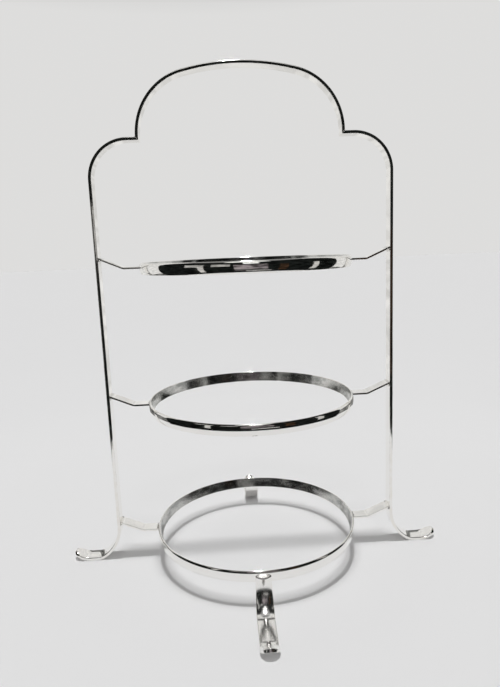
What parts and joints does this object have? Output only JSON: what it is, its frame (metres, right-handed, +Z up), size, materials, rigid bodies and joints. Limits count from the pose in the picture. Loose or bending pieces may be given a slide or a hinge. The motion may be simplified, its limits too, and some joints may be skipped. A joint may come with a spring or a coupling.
{
  "type": "tiered cake stand",
  "caption": "Open metal stand that holds round plates one above another in rings, on curled feet, with an arched carrying handle.",
  "frame": {"origin": "on the table under the stand's centre, midway between the four feet", "axes": "+X to the right along the frame's plane, +Y to the rear across it, +Z up"},
  "size_m": [0.3552, 0.315, 0.4487],
  "materials": {
    "silver_frame": "polished",
    "silver_ring": "polished",
    "silver_arm": "polished",
    "silver_leg": "polished",
    "solder": "polished"
  },
  "bodies": {
    "root": {"handle_arch": "silver_frame", "left_upright": "silver_frame", "right_upright": "silver_frame", "top_plate_ring": "silver_ring", "top_left_arm": "silver_arm", "top_right_arm": "silver_arm", "middle_plate_ring": "silver_ring", "middle_left_arm": "silver_arm", "middle_right_arm": "silver_arm", "bottom_plate_ring": "silver_ring", "bottom_left_arm": "silver_arm", "bottom_right_arm": "silver_arm", "front_leg": "silver_leg", "rear_leg": "silver_leg", "handle_solder_joints": "solder", "upright_solder_fillets": "solder", "ring_solder_fillets": "solder", "leg_solder_fillets": "solder"}
  },
  "joints": []
}
